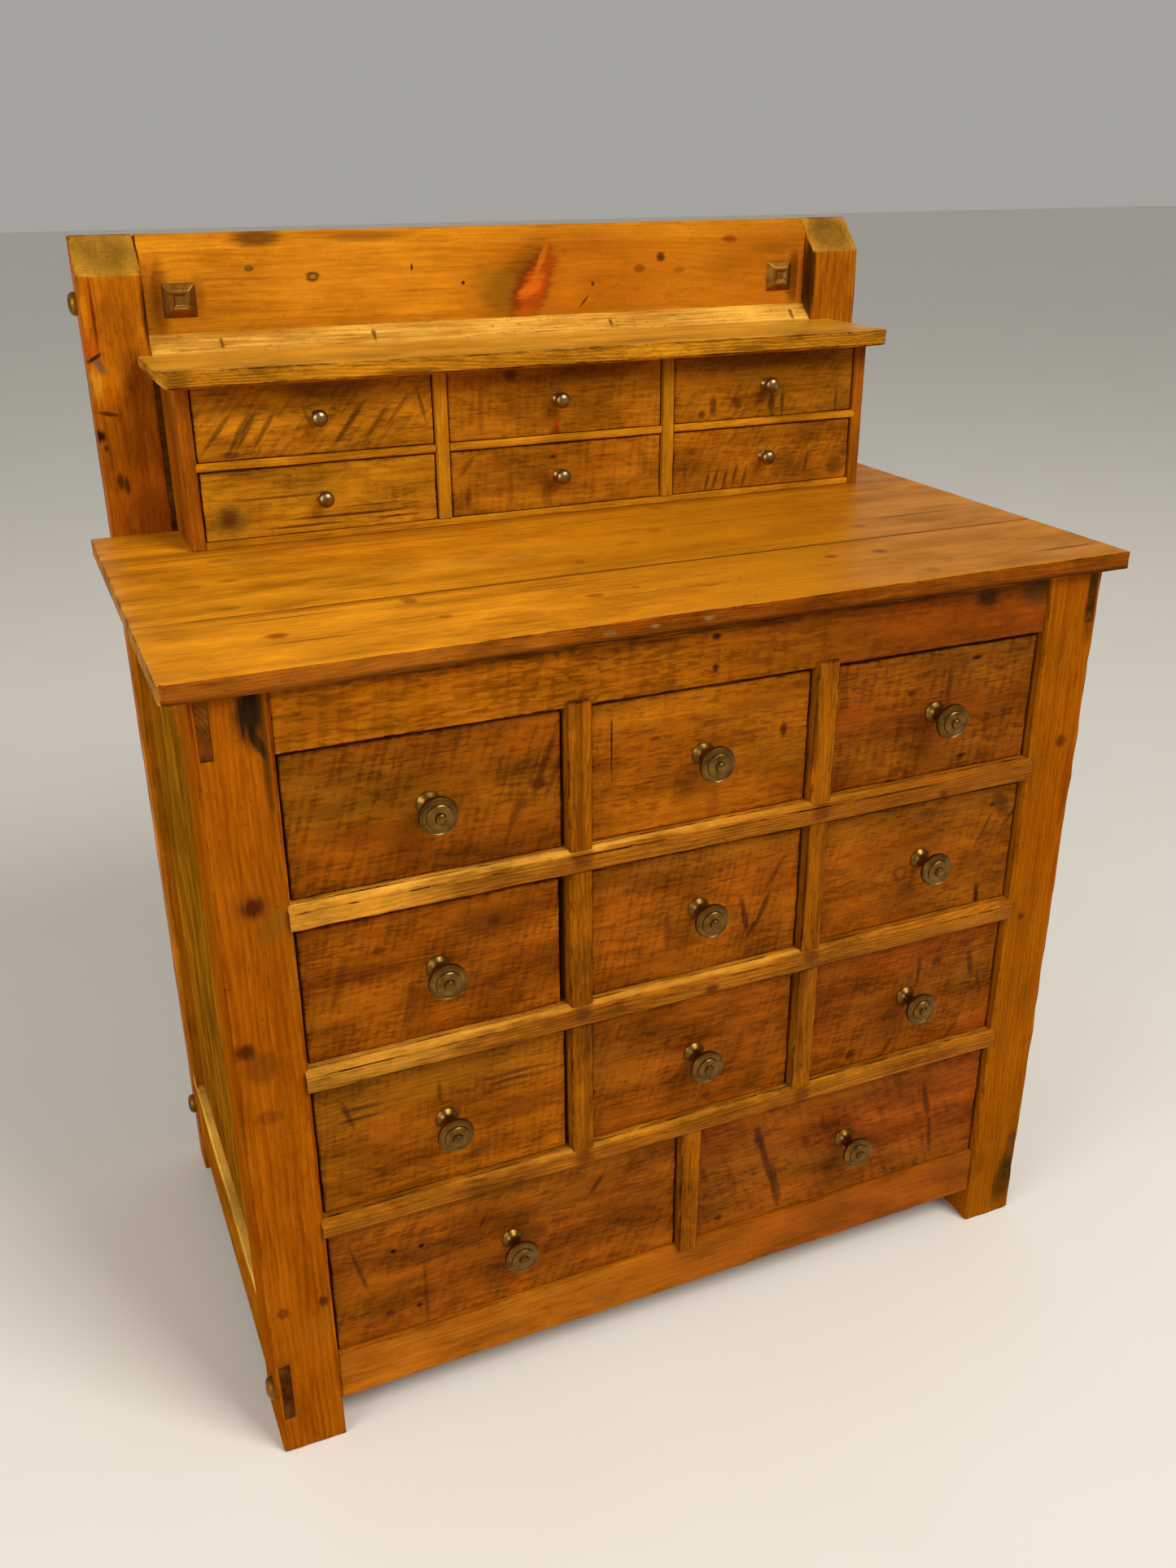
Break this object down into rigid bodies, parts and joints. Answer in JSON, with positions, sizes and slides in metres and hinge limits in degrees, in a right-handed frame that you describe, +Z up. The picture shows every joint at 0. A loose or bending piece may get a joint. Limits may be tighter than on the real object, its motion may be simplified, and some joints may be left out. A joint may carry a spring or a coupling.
{
  "type": "apothecary cabinet",
  "caption": "Reclaimed pine apothecary chest with rows of drawers, a plank worktop, and small drawers under a shelf between tall bolted uprights.",
  "frame": {"origin": "on the floor under the centre of the whole outline, drawer knobs included", "axes": "+Z up, the drawers face -Y and slide out along -Y, +X to the right when facing the drawers"},
  "size_m": [1.05, 0.6065, 1.248],
  "materials": {
    "post_pine": "waxed, amber",
    "rail_pine": "waxed, weathered grain",
    "panel_pine": "waxed, greenish",
    "muntin_pine": "waxed",
    "worktop_pine": "waxed, satin",
    "drawer_pine": "sawn and waxed, dark",
    "raw_pine": "bare sawn pine",
    "bronze": "aged bronze",
    "pewter": "worn pewter plate",
    "iron": "dark waxed iron"
  },
  "bodies": {
    "carcass": {"front_post_left": "post_pine", "front_post_right": "post_pine", "rear_post_left": "post_pine", "rear_post_right": "post_pine", "side_frame_left": "rail_pine", "side_frame_right": "rail_pine", "side_panel_left": "panel_pine", "side_panel_right": "panel_pine", "apron": "rail_pine", "bottom_rail": "rail_pine", "drawer_rails": "rail_pine", "muntins": "muntin_pine", "drawer_runners": "raw_pine", "drawer_guides": "raw_pine", "cross_rails": "raw_pine", "back_boards": "raw_pine", "worktop": "worktop_pine", "top_rail": "worktop_pine", "box_sides": "muntin_pine", "box_floor": "rail_pine", "box_back": "raw_pine", "box_dividers": "rail_pine", "box_partitions": "rail_pine", "shelf": "worktop_pine", "shelf_fillet": "rail_pine", "frame_bolts": "iron"},
    "large_drawer_1": {"large_drawer_1": "drawer_pine", "large_knob_1": "bronze"},
    "large_drawer_2": {"large_drawer_2": "drawer_pine", "large_knob_2": "bronze"},
    "large_drawer_3": {"large_drawer_3": "drawer_pine", "large_knob_3": "bronze"},
    "large_drawer_4": {"large_drawer_4": "drawer_pine", "large_knob_4": "bronze"},
    "large_drawer_5": {"large_drawer_5": "drawer_pine", "large_knob_5": "bronze"},
    "large_drawer_6": {"large_drawer_6": "drawer_pine", "large_knob_6": "bronze"},
    "large_drawer_7": {"large_drawer_7": "drawer_pine", "large_knob_7": "bronze"},
    "large_drawer_8": {"large_drawer_8": "drawer_pine", "large_knob_8": "bronze"},
    "large_drawer_9": {"large_drawer_9": "drawer_pine", "large_knob_9": "bronze"},
    "large_drawer_10": {"large_drawer_10": "drawer_pine", "large_knob_10": "bronze"},
    "large_drawer_11": {"large_drawer_11": "drawer_pine", "large_knob_11": "bronze"},
    "small_drawer_1": {"small_drawer_1": "drawer_pine", "small_knob_1": "pewter"},
    "small_drawer_2": {"small_drawer_2": "drawer_pine", "small_knob_2": "pewter"},
    "small_drawer_3": {"small_drawer_3": "drawer_pine", "small_knob_3": "pewter"},
    "small_drawer_4": {"small_drawer_4": "drawer_pine", "small_knob_4": "pewter"},
    "small_drawer_5": {"small_drawer_5": "drawer_pine", "small_knob_5": "pewter"},
    "small_drawer_6": {"small_drawer_6": "drawer_pine", "small_knob_6": "pewter"}
  },
  "joints": [
    {"name": "large_drawer_1_slide", "type": "slide", "parent": "carcass", "child": "large_drawer_1", "axis": [0, -1, 0], "range_m": [0, 0.38]},
    {"name": "large_drawer_2_slide", "type": "slide", "parent": "carcass", "child": "large_drawer_2", "axis": [0, -1, 0], "range_m": [0, 0.38]},
    {"name": "large_drawer_3_slide", "type": "slide", "parent": "carcass", "child": "large_drawer_3", "axis": [0, -1, 0], "range_m": [0, 0.38]},
    {"name": "large_drawer_4_slide", "type": "slide", "parent": "carcass", "child": "large_drawer_4", "axis": [0, -1, 0], "range_m": [0, 0.38]},
    {"name": "large_drawer_5_slide", "type": "slide", "parent": "carcass", "child": "large_drawer_5", "axis": [0, -1, 0], "range_m": [0, 0.38]},
    {"name": "large_drawer_6_slide", "type": "slide", "parent": "carcass", "child": "large_drawer_6", "axis": [0, -1, 0], "range_m": [0, 0.38]},
    {"name": "large_drawer_7_slide", "type": "slide", "parent": "carcass", "child": "large_drawer_7", "axis": [0, -1, 0], "range_m": [0, 0.38]},
    {"name": "large_drawer_8_slide", "type": "slide", "parent": "carcass", "child": "large_drawer_8", "axis": [0, -1, 0], "range_m": [0, 0.38]},
    {"name": "large_drawer_9_slide", "type": "slide", "parent": "carcass", "child": "large_drawer_9", "axis": [0, -1, 0], "range_m": [0, 0.38]},
    {"name": "large_drawer_10_slide", "type": "slide", "parent": "carcass", "child": "large_drawer_10", "axis": [0, -1, 0], "range_m": [0, 0.38]},
    {"name": "large_drawer_11_slide", "type": "slide", "parent": "carcass", "child": "large_drawer_11", "axis": [0, -1, 0], "range_m": [0, 0.38]},
    {"name": "small_drawer_1_slide", "type": "slide", "parent": "carcass", "child": "small_drawer_1", "axis": [0, -1, 0], "range_m": [0, 0.07]},
    {"name": "small_drawer_2_slide", "type": "slide", "parent": "carcass", "child": "small_drawer_2", "axis": [0, -1, 0], "range_m": [0, 0.07]},
    {"name": "small_drawer_3_slide", "type": "slide", "parent": "carcass", "child": "small_drawer_3", "axis": [0, -1, 0], "range_m": [0, 0.07]},
    {"name": "small_drawer_4_slide", "type": "slide", "parent": "carcass", "child": "small_drawer_4", "axis": [0, -1, 0], "range_m": [0, 0.07]},
    {"name": "small_drawer_5_slide", "type": "slide", "parent": "carcass", "child": "small_drawer_5", "axis": [0, -1, 0], "range_m": [0, 0.07]},
    {"name": "small_drawer_6_slide", "type": "slide", "parent": "carcass", "child": "small_drawer_6", "axis": [0, -1, 0], "range_m": [0, 0.07]}
  ]
}
